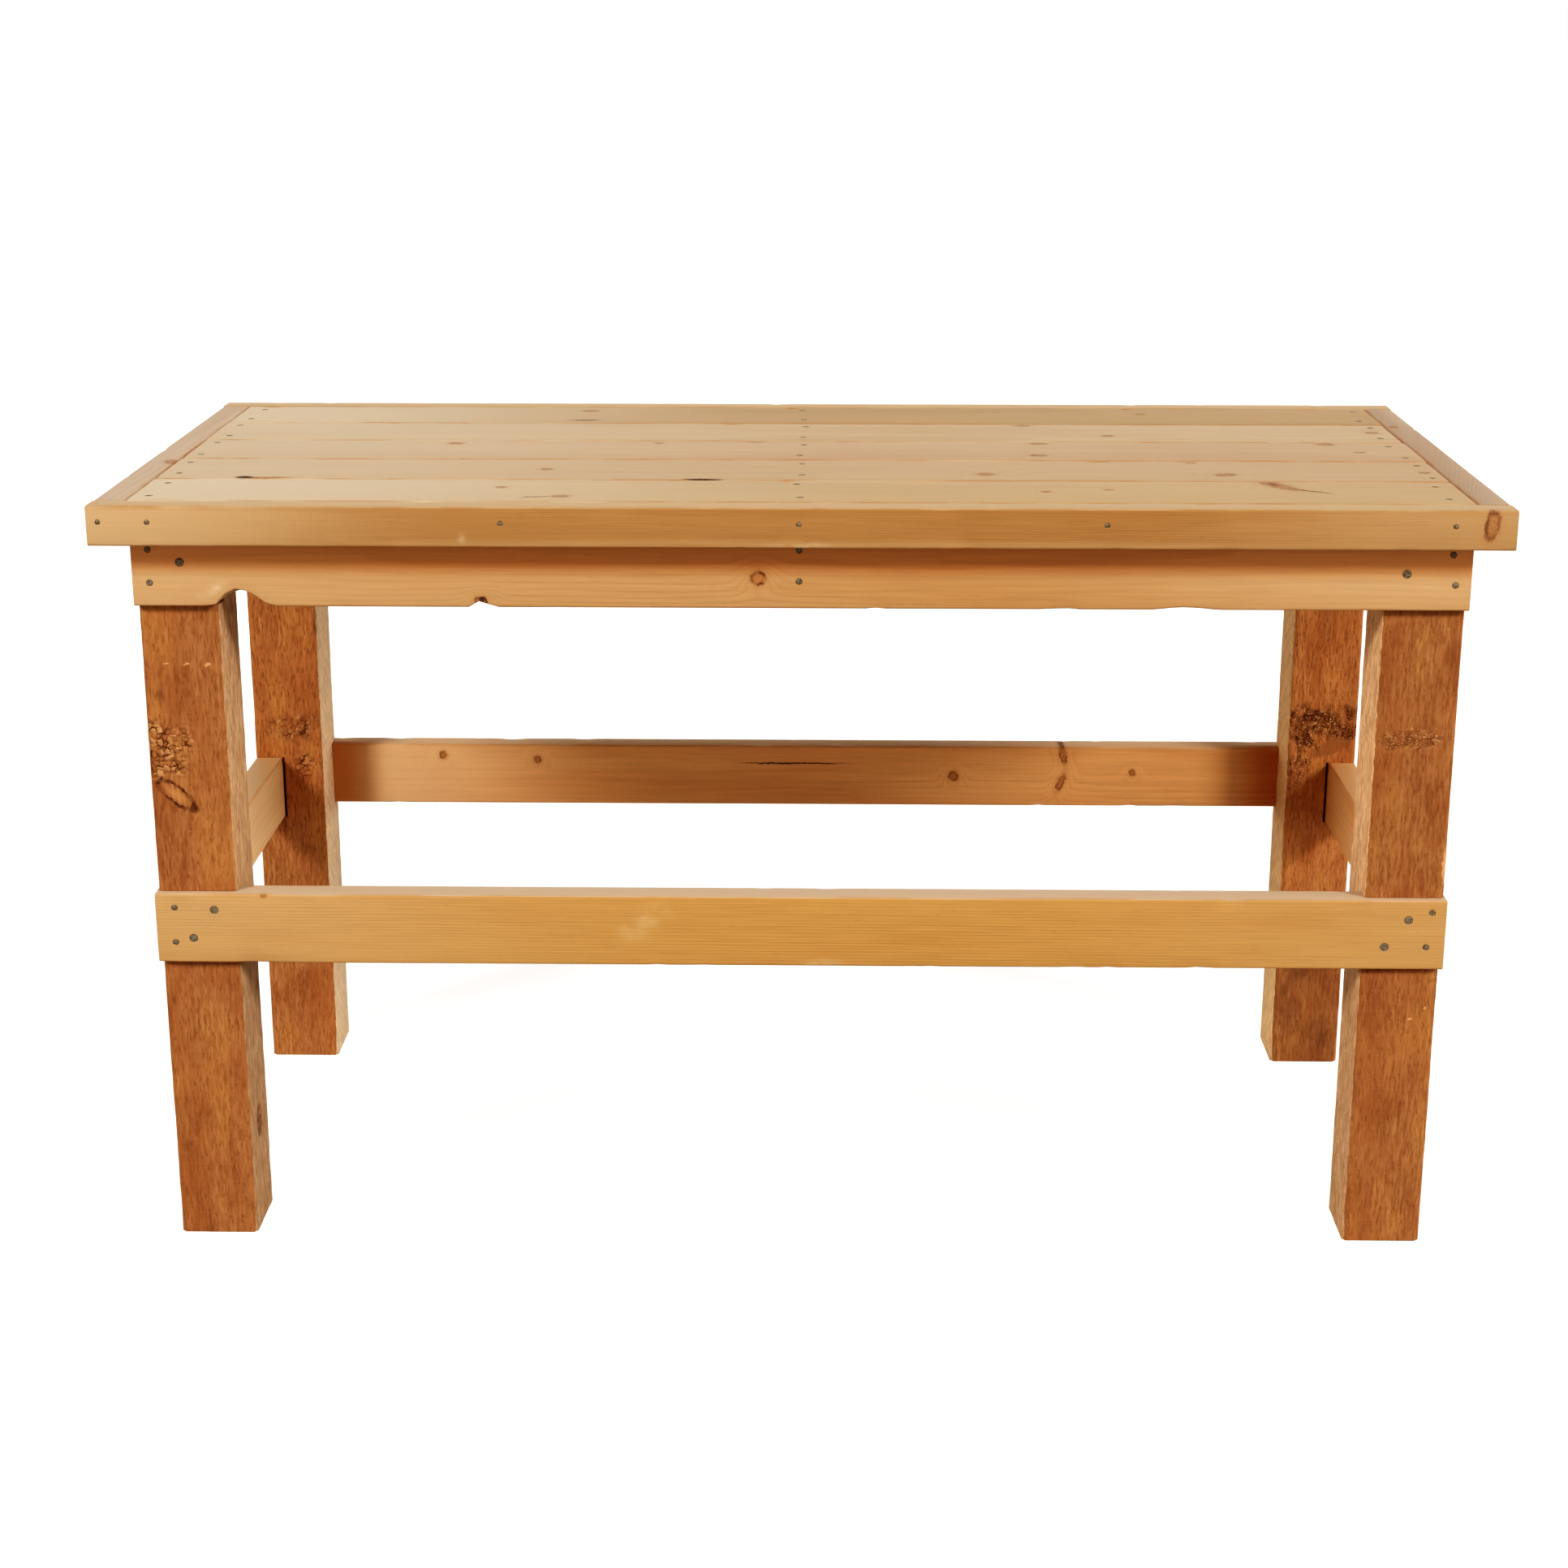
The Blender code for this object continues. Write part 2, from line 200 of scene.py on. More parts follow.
class Graph:
    """Short forms for the nodes of one material."""

    def __init__(self, tree):
        self.tree = tree

    def add(self, kind, **settings):
        node = self.tree.nodes.new("ShaderNode" + kind)
        for name, value in settings.items():
            setattr(node, name, value)
        return node

    def plug(self, socket, value):
        if isinstance(value, bpy.types.NodeSocket):
            self.tree.links.new(value, socket)
        else:
            socket.default_value = value

    def fill(self, node, **values):
        for name, value in values.items():
            self.plug(node.inputs[name], value)

    def feed(self, node, *values):
        for socket, value in zip(node.inputs, values):
            self.plug(socket, value)
        return node.outputs

    def math(self, operation, *values):
        return self.feed(self.add("Math", operation=operation), *values)[0]

    def times(self, first, *others):
        for other in others:
            first = self.math("MULTIPLY", first, other)
        return first

    def vector(self, operation, *values):
        outputs = self.feed(self.add("VectorMath", operation=operation), *values)
        return outputs["Value" if operation == "LENGTH" else "Vector"]

    def split(self, vector):
        return self.feed(self.add("SeparateXYZ"), vector)

    def noise(self, vector, frequency, detail=2.0, roughness=0.5, output="Fac"):
        """Noise with its own frequency along a board and across it."""
        along, across = frequency
        node = self.add("TexNoise")
        scaled = self.vector("MULTIPLY", vector, (along, across, across))
        self.fill(node, Vector=scaled, Scale=1.0, Detail=detail, Roughness=roughness)
        return node.outputs[output]

    def jitter(self, vector, frequency, reach):
        """The vector moved about by noise, as far as reach along each axis."""
        moves = self.vector("SUBTRACT", self.noise(vector, frequency, output="Color"), (0.5,) * 3)
        return self.vector("ADD", vector, self.vector("MULTIPLY", moves, reach))

    def ramp(self, value, low, high, start=0.0, end=1.0):
        """A smooth step from start to end as the value goes from low to high."""
        node = self.add("MapRange", interpolation_type="SMOOTHSTEP")
        return self.feed(node, value, low, high, start, end)[0]

    def cells(self, vector, frequency):
        """Ragged cells, so many per metre: how far inside its cell a point is, and a value for each cell."""
        scaled = self.vector("MULTIPLY", vector, (frequency,) * 3)
        found = []
        for feature, output in (("DISTANCE_TO_EDGE", "Distance"), ("F1", "Color")):
            node = self.add("TexVoronoi", feature=feature)
            self.fill(node, Vector=scaled, Scale=1.0)
            found.append(node.outputs[output])
        return found[0], self.split(found[1])[0]

    def mix(self, share, first, second, blend="MIX"):
        node = self.add("Mix", data_type="RGBA", blend_type=blend)
        for index, value in ((0, share), (6, first), (7, second)):
            self.plug(node.inputs[index], value)
        return node.outputs[2]

    def nearest(self, place, spots, level=0.0, depth=ENDLESS):
        """Distance to the nearest of some ellipses, as a share of its radius: 1 on its outline.

        They lie at a level of z, and reach so deep from there.
        """
        found = None
        for x, y, along, across, angle in spots:
            node = self.add("Mapping", vector_type="TEXTURE")
            turn = (0.0, 0.0, math.radians(angle))
            self.fill(node, Vector=place, Location=(x, y, level), Rotation=turn, Scale=(along, across, depth))
            distance = self.vector("LENGTH", node.outputs[0])
            found = distance if found is None else self.math("MINIMUM", found, distance)
        return found


def new_material(name):
    made = bpy.data.materials.new(name)
    made.use_nodes = True
    return made, Graph(made.node_tree), made.node_tree.nodes["Principled BSDF"]


def dress(graph, shader, tone, rough, height, relief):
    """Gives a shader its colour, roughness and bumps."""
    strength, distance = relief
    node = graph.add("Bump")
    graph.fill(node, Strength=strength, Distance=distance, Height=height)
    graph.fill(shader, **{"Base Color": tone, "Roughness": rough, "Normal": node.outputs[0]})


def growth(graph, place, local, look, near):
    """Late wood of the growth rings, 0 to 1: they run round a pith and bend past the knots."""
    sway = graph.vector("SUBTRACT", graph.noise(local, GRAIN["sway"], output="Color"), (0.5,) * 3)
    bent = graph.vector("ADD", place, graph.vector("MULTIPLY", sway, (0.0, look["sway"], look["sway"])))
    x, y, z = graph.split(bent)
    across = graph.math("ADD", y, graph.times(x, look["slope"]))
    across = graph.math("POWER", graph.math("SUBTRACT", across, look["pith"][0]), 2.0)
    deep = graph.math("POWER", graph.math("SUBTRACT", z, look["pith"][1]), 2.0)
    ring = graph.math("DIVIDE", graph.math("SQRT", graph.math("ADD", across, deep)), look["ring"])
    ring = graph.math("ADD", ring, graph.times(graph.noise(local, GRAIN["ring"]), RING_JITTER))
    if near:
        swirl = graph.math("EXPONENT", graph.times(graph.math("POWER", near, 2.0), -KNOT_FADE))
        ring = graph.math("ADD", ring, graph.times(swirl, KNOT_SWIRL))
    turn = graph.math("FRACT", ring)
    late = graph.times(graph.ramp(turn, *look["line"]), graph.ramp(turn, 0.9, 1.0, 1.0, 0.0))
    return graph.times(late, graph.ramp(graph.noise(local, GRAIN["fade"]), 0.25, 0.7, 0.3, 1.0))


def softwood(name, look, size, seed, knots=(), stains=(), scuffs=()):
    """Planed softwood. The board lies along X, with its width on Y and its shown face on +Z.

    Knots, stains and scuffs are ellipses: (x, y, radius along, radius across, angle).
    """
    made, graph, shader = new_material(name)

    def paint(key):
        return colour(look[key])

    coordinates = graph.add("TexCoord")
    place = coordinates.outputs["Object"]
    normal = graph.split(coordinates.outputs["Normal"])
    x, y, z = graph.split(place)
    end, edge, face = size / 2
    local = graph.vector("ADD", place, offset_of(seed, "planed"))
    ragged = graph.jitter(place, GRAIN["ragged"], RAGGED_REACH)
    near = graph.nearest(ragged, knots, face, look["knot_depth"]) if knots else None
    late = growth(graph, place, local, look, near)

    tone = graph.mix(graph.times(late, look["figure"]), paint("pale"), paint("late"))
    broad = graph.noise(local, GRAIN["broad"], 3.0)
    tone = graph.mix(graph.ramp(broad, 0.42, 0.68, 0.0, look["blush_share"]), tone, paint("blush"))
    fibre = graph.noise(local, GRAIN["fibre"], 3.0, 0.6)
    fibres = graph.ramp(fibre, 0.25, 0.75, 1.0 - look["fibre"], 1.0 + look["fibre"])
    tone = graph.mix(1.0, tone, fibres, "MULTIPLY")
    flecks = graph.ramp(graph.noise(local, GRAIN["fleck"]), 0.66, 0.74, 0.0, 0.3)
    tone = graph.mix(flecks, tone, paint("late"))

    # painted light: the ends of a board made paler where light falls stronger on them
    left, left_reach, right, right_reach = look["drift"]
    wash = graph.ramp(x, -end, left_reach - end, left, 0.0)
    wash = graph.math("MAXIMUM", wash, graph.ramp(x, end - right_reach, end, 0.0, right))
    # painted reflection: the upper face of a board made paler, as a sheen of the bright backdrop
    above = graph.ramp(normal[1], 0.5, 0.9, 0.0, look["top_sheen"])
    wavy = graph.math("ADD", y, graph.times(broad, BAND_WAVE))
    low = graph.ramp(wavy, *(-size[1] * share for share in BAND_REACH), look["band"], 0.0)
    wash = graph.math("MAXIMUM", graph.math("MAXIMUM", wash, above), low)
    tone = graph.mix(wash, tone, paint("wash"))
    # painted shade: tints of a shown face, warmer under the trim where its shadow falls, and darker and
    # redder at the ends where the posts shade them
    for tint, along in (("painted_bounce", y), ("end_shade", graph.math("ABSOLUTE", x))):
        if tint in look:
            share = graph.times(graph.ramp(along, *look[tint + "_reach"]), graph.ramp(z, 0.0, face / 2))
            tone = graph.mix(share, tone, (*look[tint], 1.0), "MULTIPLY")

    edge_y = graph.ramp(graph.math("ABSOLUTE", y), edge - EDGE_WEAR, edge)
    edge_z = graph.ramp(graph.math("ABSOLUTE", z), face - EDGE_WEAR, face)
    worn = graph.ramp(graph.noise(local, GRAIN["worn"], 3.0), 0.35, 0.65, 0.1, 0.8)
    tone = graph.mix(graph.times(edge_y, edge_z, worn), tone, paint("arris"))
    ends = graph.ramp(graph.math("ABSOLUTE", x), *(end - cut for cut in END_GRAIN), 0.0, END_SHARE)
    squarely = graph.ramp(graph.math("ABSOLUTE", normal[0]), 0.6, 0.8)
    tone = graph.mix(graph.times(ends, squarely), tone, paint("end"))

    if scuffs:
        spot = graph.ramp(graph.nearest(ragged, scuffs), 0.0, 1.2, 1.0, 0.0)
        smear = graph.ramp(graph.noise(local, GRAIN["smear"], 2.0), 0.25, 0.8)
        tone = graph.mix(graph.times(spot, smear, look["scuff_share"]), tone, paint("scuff"))
    if knots:
        halo = graph.ramp(near, 0.9, 2.4, 0.4 * look["knot_share"], 0.0)
        tone = graph.mix(halo, tone, paint("halo"))
        eyes = graph.ramp(graph.math("SINE", graph.times(near, EYE_RINGS)), -0.6, 0.8)
        core = graph.mix(eyes, paint("knot"), paint("knot_eye"))
        tone = graph.mix(graph.ramp(near, 0.84, 1.08, look["knot_share"], 0.0), tone, core)
        rim = graph.times(graph.ramp(near, 0.60, 0.95), graph.ramp(near, 1.0, 1.4, 1.0, 0.0))
        broken = graph.ramp(graph.noise(local, GRAIN["broken"], 2.0), 0.38, 0.58, 0.25, 1.0)
        tone = graph.mix(graph.times(rim, look["rim_share"], broken), tone, paint("knot_rim"))
    if stains:
        away = graph.nearest(ragged, stains, face, look["knot_depth"])
        tone = graph.mix(graph.ramp(away, 0.5, 1.25, look["stain_share"], 0.0), tone, paint("stain"))

    rough = graph.ramp(fibre, 0.2, 0.8, *(look["rough"] + step for step in ROUGH_SPREAD))
    height = graph.math("SUBTRACT", graph.times(fibre, 0.7), graph.times(late, 0.25))
    dress(graph, shader, tone, rough, height, PLANED_BUMP)
    return made


def sawn_wood(name, look, size, seed, inner, dark_marks=(), nicks=(), ovals=(), scars=()):
    """Rough-sawn timber along X: short torn fibres, marks of the saw across them, and torn knots.

    The side that looks along Y times inner is the paler one. The marks are ellipses on the face that looks
    along +Z: (x, y, radius along, radius across, angle).
    """
    made, graph, shader = new_material(name)

    def paint(key):
        return colour(look[key])

    place = graph.add("TexCoord").outputs["Object"]
    local = graph.vector("ADD", place, offset_of(seed, "sawn"))
    x, y, z = graph.split(place)
    torn = graph.add("Attribute", attribute_name="torn").outputs["Fac"]
    dark = graph.add("Attribute", attribute_name="dark").outputs["Fac"]

    dashes = graph.noise(local, SAWN_GRAIN["dash"], 2.0, 0.55)
    threads = graph.noise(local, SAWN_GRAIN["thread"], 3.0, 0.6)
    broad = graph.noise(local, SAWN_GRAIN["broad"], 3.0)
    blotches = graph.noise(local, SAWN_GRAIN["blotch"], 2.0)
    saw = graph.noise(local, SAWN_GRAIN["saw"])
    slant = graph.add("Mapping")
    graph.fill(slant, Vector=local, Rotation=(0.0, math.radians(SAW_SLANT), 0.0))
    tufts = graph.noise(slant.outputs[0], SAWN_GRAIN["tuft"], 2.0)
    bands = graph.noise(slant.outputs[0], SAWN_GRAIN["band"], 3.0, 0.6)

    grain = graph.ramp(threads, 0.3, 0.7)
    front = graph.mix(grain, paint("shade"), paint("light"))
    front = graph.mix(graph.ramp(broad, 0.35, 0.7, 0.0, 0.6), front, paint("warm"))
    front = graph.mix(graph.ramp(blotches, 0.50, 0.68), front, (*look["gold"], 1.0), "MULTIPLY")
    front = graph.mix(graph.ramp(blotches, 0.32, 0.50, 1.0, 0.0), front, (*look["umber"], 1.0), "MULTIPLY")
    streak = graph.ramp(graph.noise(local, SAWN_GRAIN["streak"], 3.0, 0.6), 0.3, 0.7, 0.94, 1.06)
    # streaks of grain, and painted light and shade: the front brighter or darker with height
    front = graph.mix(1.0, front, graph.times(streak, graph.ramp(x, *look["front_painted_light"])), "MULTIPLY")
    side = graph.mix(grain, paint("side_shade"), paint("side_light"))
    side = graph.mix(graph.ramp(broad, 0.45, 0.75, 0.0, 0.5), side, paint("side_warm"))
    side = graph.mix(graph.ramp(tufts, 0.56, 0.74, 0.0, 0.5), side, paint("side_shade"))
    side = graph.mix(1.0, side, graph.ramp(bands, 0.35, 0.65, 1.04, 0.93), "MULTIPLY")
    # painted light and shade: a side brighter or darker with height
    side = graph.mix(1.0, side, graph.ramp(x, *look["side_painted_light"]), "MULTIPLY")
    outer = graph.mix(grain, paint("outer_shade"), paint("outer_light"))
    outer = graph.mix(graph.ramp(broad, 0.4, 0.75, 0.0, 0.6), outer, paint("warm"))
    side = graph.mix(graph.ramp(graph.times(y, inner), -INNER_BLEND, INNER_BLEND), outer, side)
    over_y = graph.math("DIVIDE", graph.math("ABSOLUTE", y), size[1] / 2)
    over_z = graph.math("DIVIDE", graph.math("ABSOLUTE", z), size[2] / 2)
    facing = graph.math("SUBTRACT", over_y, over_z)
    wander = graph.times(graph.math("SUBTRACT", dashes, 0.5), CORNER_WANDER)
    sideways = graph.ramp(graph.math("ADD", facing, wander), -CORNER_BLEND, CORNER_BLEND)
    tone = graph.mix(sideways, front, side)

    share = graph.times(graph.ramp(dashes, 0.48, 0.74, 0.0, 0.5), graph.ramp(sideways, 0.0, 1.0, 1.0, 0.45))
    tone = graph.mix(share, tone, paint("dash"))
    flecks = graph.ramp(graph.noise(local, SAWN_GRAIN["fleck"]), 0.70, 0.78, 0.0, 0.5)
    tone = graph.mix(flecks, tone, paint("fleck"))
    tone = graph.mix(graph.ramp(saw, 0.55, 0.75, 0.0, 0.2), tone, paint("light"))

    ragged = graph.jitter(place, SAWN_GRAIN["ragged"], SAWN_REACH)
    shown = graph.ramp(z, *(size[2] / 2 - depth for depth in SHOWN_DEPTH))
    # darker mottled patches on the front
    if dark_marks:
        mottled = graph.ramp(graph.noise(local, SAWN_GRAIN["mottle"], 3.0), 0.3, 0.65, 0.25, 1.0)
        share = graph.times(graph.ramp(graph.nearest(ragged, dark_marks), 0.1, 1.3, 0.6, 0.0), mottled, shown)
        tone = graph.mix(share, tone, paint("dark_mark"))
    if scars:
        share = graph.times(graph.ramp(graph.nearest(ragged, scars), 0.7, 1.1, 0.75, 0.0), shown)
        tone = graph.mix(share, tone, paint("scar"))
    if ovals:
        away = graph.nearest(ragged, ovals)
        share = graph.times(graph.ramp(away, 0.2, 0.85, 0.5, 0.0), shown)
        tone = graph.mix(share, tone, paint("scar"))
        rim = graph.times(graph.ramp(away, 0.72, 0.90), graph.ramp(away, 1.0, 1.25, 1.0, 0.0), shown)
        broken = graph.ramp(graph.noise(local, SAWN_GRAIN["broken"], 2.0), 0.34, 0.62, 0.3, 0.85)
        tone = graph.mix(graph.times(rim, broken), tone, paint("crease"))
    if nicks:
        share = graph.times(graph.ramp(graph.nearest(ragged, nicks), 0.4, 1.2, 0.8, 0.0), shown)
        tone = graph.mix(share, tone, paint("fleck"))

    inside, level = graph.cells(graph.jitter(local, SAWN_GRAIN["chip"], CHIP_REACH), look["chips"])
    gap = graph.ramp(inside, 0.02, 0.14, 1.0, 0.0)
    deep = graph.ramp(graph.noise(local, SAWN_GRAIN["deep"]), 0.42, 0.66, 0.0, 0.95)
    tone = graph.mix(graph.times(dark, 0.8), tone, paint("torn"))
    # paler raised chips: pale torn fibre, and a painted highlight on their tops
    tone = graph.mix(graph.times(torn, graph.ramp(level, 0.45, 0.95, 0.0, 0.65)), tone, paint("fleck"))
    # painted shade in the gaps between the chips
    tone = graph.mix(graph.times(torn, gap, deep), tone, paint("crease"))

    shader.inputs["Specular IOR Level"].default_value = SAWN_SPECULAR
    height = graph.math("ADD", graph.times(threads, 0.5), graph.times(dashes, -0.4))
    height = graph.math("ADD", height, graph.times(saw, 0.3))
    chip = graph.math("ADD", graph.ramp(inside, 0.0, 0.3), graph.times(level, 0.9))
    height = graph.math("ADD", height, graph.times(torn, chip, 0.8))
    dress(graph, shader, tone, graph.ramp(threads, 0.3, 0.7, *SAWN_ROUGH), height, SAWN_BUMP)
    return made


def nail_steel():
    """Dull steel wire nails, darker where rust and dirt sit."""
    made, graph, shader = new_material("nail_steel")
    place = graph.add("TexCoord").outputs["Object"]
    stain = graph.noise(place, STEEL_GRAIN["stain"], 3.0)
    blotch = graph.noise(place, STEEL_GRAIN["blotch"], 1.0)
    tone = graph.mix(graph.ramp(stain, 0.4, 0.65), colour(STEEL["bright"]), colour(STEEL["dull"]))
    tone = graph.mix(graph.ramp(blotch, 0.45, 0.65, 0.0, 0.45), tone, colour(STEEL["rust"]))
    shader.inputs["Metallic"].default_value = STEEL_METAL
    dress(graph, shader, tone, graph.ramp(stain, 0.3, 0.7, *STEEL_ROUGH), stain, STEEL_BUMP)
    return made


def smooth(mesh):
    mesh.shade_smooth()
    mesh.set_sharp_from_angle(angle=SMOOTH_ANGLE)
    return mesh


def mesh_of(bm, name):
    mesh = bpy.data.meshes.new(name)
    bm.to_mesh(mesh)
    bm.free()
    return mesh


def new_object(name, data):
    obj = bpy.data.objects.new(name, data)
    bpy.context.scene.collection.objects.link(obj)
    return obj


def section(width, depth, style):
    """Points round a board's section on YZ: place, direction that it faces, and 1 on the eased edges."""
    radius = style["radius"]
    points = []
    for corner, (side, face) in enumerate(((1, 1), (-1, 1), (-1, -1), (1, -1))):
        centre = (side * (width / 2 - radius), face * (depth / 2 - radius))
        for step in range(style["arc"] + 1):
            angle = (corner + step / style["arc"]) * math.pi / 2
            out = (math.cos(angle), math.sin(angle))
            points.append((centre[0] + radius * out[0], centre[1] + radius * out[1], *out, 1.0))
        run = (width if corner % 2 == 0 else depth) - 2 * radius
        count = max(1, round(run / style["across"]))
        turned = ((-1, 0), (0, -1), (1, 0), (0, 1))[corner]
        last = points[-1]
        for step in range(1, count):
            move = run * step / count
            points.append((last[0] + turned[0] * move, last[1] + turned[1] * move, last[2], last[3], 0.0))
    return points


def stations(length, style):
    count = max(2, round(length / style["along"]))
    inner = [-length / 2 + END_BEVEL + (length - 2 * END_BEVEL) * i / count for i in range(count + 1)]
    return [-length / 2, *inner, length / 2]


def lumber_mesh(name, size, style, shape):
    """A closed mesh of a board along X, each point of which shape moves and gives values to."""
    ring = section(size[1], size[2], style)
    rows = stations(size[0], style)
    verts, values = [], []
    for number, x in enumerate(rows):
        inset = END_BEVEL if number in (0, len(rows) - 1) else 0.0
        for y, z, out_y, out_z, arris in ring:
            point = Vector((x, y - out_y * inset, z - out_z * inset))
            moved, given = shape(point, Vector((0.0, out_y, out_z)), arris)
            verts.append(moved)
            values.append(given)
    count = len(ring)
    faces = [tuple(range(count))[::-1], tuple(range(len(verts) - count, len(verts)))]
    for row in range(len(rows) - 1):
        base = row * count
        for i in range(count):
            j = (i + 1) % count
            faces.append((base + i, base + j, base + count + j, base + count + i))
    mesh = bpy.data.meshes.new(name)
    mesh.from_pydata(verts, [], faces)
    for key in values[0]:
        layer = mesh.attributes.new(key, "FLOAT", "POINT")
        layer.data.foreach_set("value", [given[key] for given in values])
    return smooth(mesh)


def planed_shape(seed, size, carve=None, ends=(0.0, 0.0)):
    """A planed board: nearly flat faces, eased edges with a few dents, and ends that fall a little short."""
    offset = offset_of(seed, "planed_shape")
    relief = PLANED_RELIEF

    def shape(point, out, arris):
        dent = max(0.0, waves(point, PLANED_WAVES["dent"], offset) - 0.35)
        flat = waves(point, PLANED_WAVES["wave"], offset)
        depth = arris * (relief["edge"] + relief["dent"] * dent) + relief["wave"] * (1 + flat)
        moved = point - out * depth
        side = 1 if point.x > 0 else -1
        pull = max(0.0, 1 - (size[0] / 2 - abs(point.x)) / END_REACH) * ends[side > 0]
        moved.x -= side * pull * (1 + 0.5 * noise.noise(Vector((point.y * END_WAVES, seed, 0.0))))
        if carve:
            moved = carve(moved)
        return moved, {}

    return shape


def scooped(size):
    """Lifts the lower part of the front apron along its scoops."""
    left = -size[0] / 2
    low = -size[1] / 2

    def carve(point):
        lift = 0.0
        for scoop in APRON_SCOOPS:
            away = point.x - left - scoop["from_end"]
            share = away / scoop["left" if away < 0 else "right"]
            if abs(share) < 1:
                front = 0.5 + point.z / size[2]
                height = scoop["rear"] + (scoop["front"] - scoop["rear"]) * front
                lift += height * math.cos(share * math.pi / 2)
        fade = max(0.0, 1 - (point.y - low) / SCOOP_REACH)
        return point + Vector((0.0, lift * fade, 0.0))

    return carve


def sawn_shape(seed, size, patches):
    """A rough-sawn post: wavy faces, frayed corners, a worn foot and torn knots."""
    offset = offset_of(seed, "sawn_shape")
    relief = SAWN_RELIEF

    def shape(point, out, arris):
        wide, ripple, fray = (waves(point, SAWN_WAVES[kind], offset) for kind in ("wave", "ripple", "fray"))
        depth = relief["level"] + relief["wave"] * wide + relief["ripple"] * ripple
        depth += arris * (relief["corner"] + relief["fray"] * max(0.0, fray + 0.2))
        foot = max(0.0, 1 - (point.x + size[0] / 2) / FOOT_REACH)
        depth += arris * foot * (relief["foot"] + relief["foot_fray"] * max(0.0, fray))
        blotch = noise.noise(point * BLOTCH_WAVES + offset)
        torn = dark = 0.0
        for face, height, aside, tall, wide, rough, shade in patches:
            if face.dot(out) < 0.5:
                continue
            along = (point.x - height) / tall
            over = (point.y * abs(out.z) + point.z * abs(out.y) - aside) / wide
            inside = (1.1 - math.hypot(along, over) - 0.3 * ripple - 0.7 * blotch) / 0.5
            share = min(1.0, max(0.0, inside))
            torn = max(torn, share * rough)
            dark = max(dark, share * shade)
        coarse, fine = (noise.noise(point * frequency + offset) for frequency in LUMP_WAVES)
        lumps = coarse + 0.45 * fine
        depth += torn * relief["torn"] * (1 - min(1.0, 2.4 * abs(lumps)))
        return point - out * depth, {"torn": torn, "dark": dark}

    return shape


# How each kind of board lies: the direction along it and the one that its shown face looks in
LAYS = {
    "flat": ((1, 0, 0), (0, 0, 1)),
    "long": ((1, 0, 0), (0, -1, 0)),
    "cross": ((0, 1, 0), (1, 0, 0)),
    "cap": ((0, 1, 0), (0, 0, 1)),
    "post": ((0, 0, 1), (0, -1, 0)),
}


def lay_frame(node, lay):
    """Where a board's own axes lie, and its size along them."""
    low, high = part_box(node)
    along, face = map(Vector, LAYS[lay])
    turn = Matrix((along, face.cross(along), face)).transposed()
    size = turn.transposed() @ (high - low)
    return Matrix.Translation((low + high) / 2) @ turn.to_4x4(), Vector(map(abs, size))


def add_piece(name, mesh, place, material, slot, nodes=()):
    obj = new_object(name, mesh)
    obj.matrix_world = place
    mesh.materials.append(material)
    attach(obj, "root")
    if nodes:
        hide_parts(*nodes)
    return obj


def ring_mesh(name, places, profile):
    """One mesh of a profile turned at each place: (point, direction that it faces, size)."""
    bm = bmesh.new()
    for point, out, scale in places:
        turn = out.to_track_quat("Z", "Y").to_matrix()
        rows = []
        for radius, height in profile(scale):
            if radius == 0.0:
                rows.append([bm.verts.new(point + turn @ Vector((0, 0, height)))])
                continue
            row = []
            for side in range(NAIL_SIDES):
                angle = side * 2 * math.pi / NAIL_SIDES
                spoke = Vector((radius * math.cos(angle), radius * math.sin(angle), height))
                row.append(bm.verts.new(point + turn @ spoke))
            rows.append(row)
        for upper, lower in zip(rows, rows[1:]):
            for i in range(NAIL_SIDES):
                j = (i + 1) % NAIL_SIDES
                corners = [row[at % len(row)] for row, at in ((upper, i), (lower, i), (lower, j), (upper, j))]
                bm.faces.new(list(dict.fromkeys(corners)))
    bmesh.ops.recalc_face_normals(bm, faces=bm.faces)
    return smooth(mesh_of(bm, name))


def nail_profile(nail):
    head = nail["head"] / 2
    shank = head * SHANK_SHARE
    return (
        (0.0, -NAIL_SINK + HEAD_DOME),
        (head * 0.55, -NAIL_SINK + HEAD_DOME * 0.8),
        (head * 0.88, -NAIL_SINK),
        (head, -NAIL_SINK - HEAD_DOME),
        (head, -NAIL_SINK - HEAD_CAP),
        (shank, -NAIL_SINK - HEAD_CAP * 1.6),
        (shank, -nail["length"] + 4 * shank),
        (0.0, -nail["length"]),
    )


def recess_profile(nail):
    head = nail["head"] / 2
    return (
        (0.0, RECESS_DEPTH),
        (head + 2 * RECESS_RIM, RECESS_DEPTH),
        (head + RECESS_RIM, 0.0),
        (head + RECESS_RIM * 0.3, -RECESS_DEPTH),
        (0.0, -RECESS_DEPTH),
    )


def subtract(obj, shape, solver):
    cutter = new_object(shape.name, shape)
    cut = obj.modifiers.new("cut", "BOOLEAN")
    cut.operation = "DIFFERENCE"
    cut.solver = solver
    cut.object = cutter
    evaluated = obj.evaluated_get(bpy.context.evaluated_depsgraph_get())
    mesh = bpy.data.meshes.new_from_object(evaluated)
    obj.modifiers.clear()
    old = obj.data
    obj.data = mesh
    bpy.data.meshes.remove(old)
    bpy.data.objects.remove(cutter, do_unlink=True)
    smooth(mesh)


def recess(obj, nails):
    """Cuts the dimple of each nail into a board."""
    subtract(obj, ring_mesh("recess_cutter", nails, recess_profile), "EXACT")


def add_box(bm, low, high):
    place = Matrix.Translation((low + high) / 2) @ Matrix.Diagonal((*(high - low), 1.0))
    bmesh.ops.create_cube(bm, matrix=place)


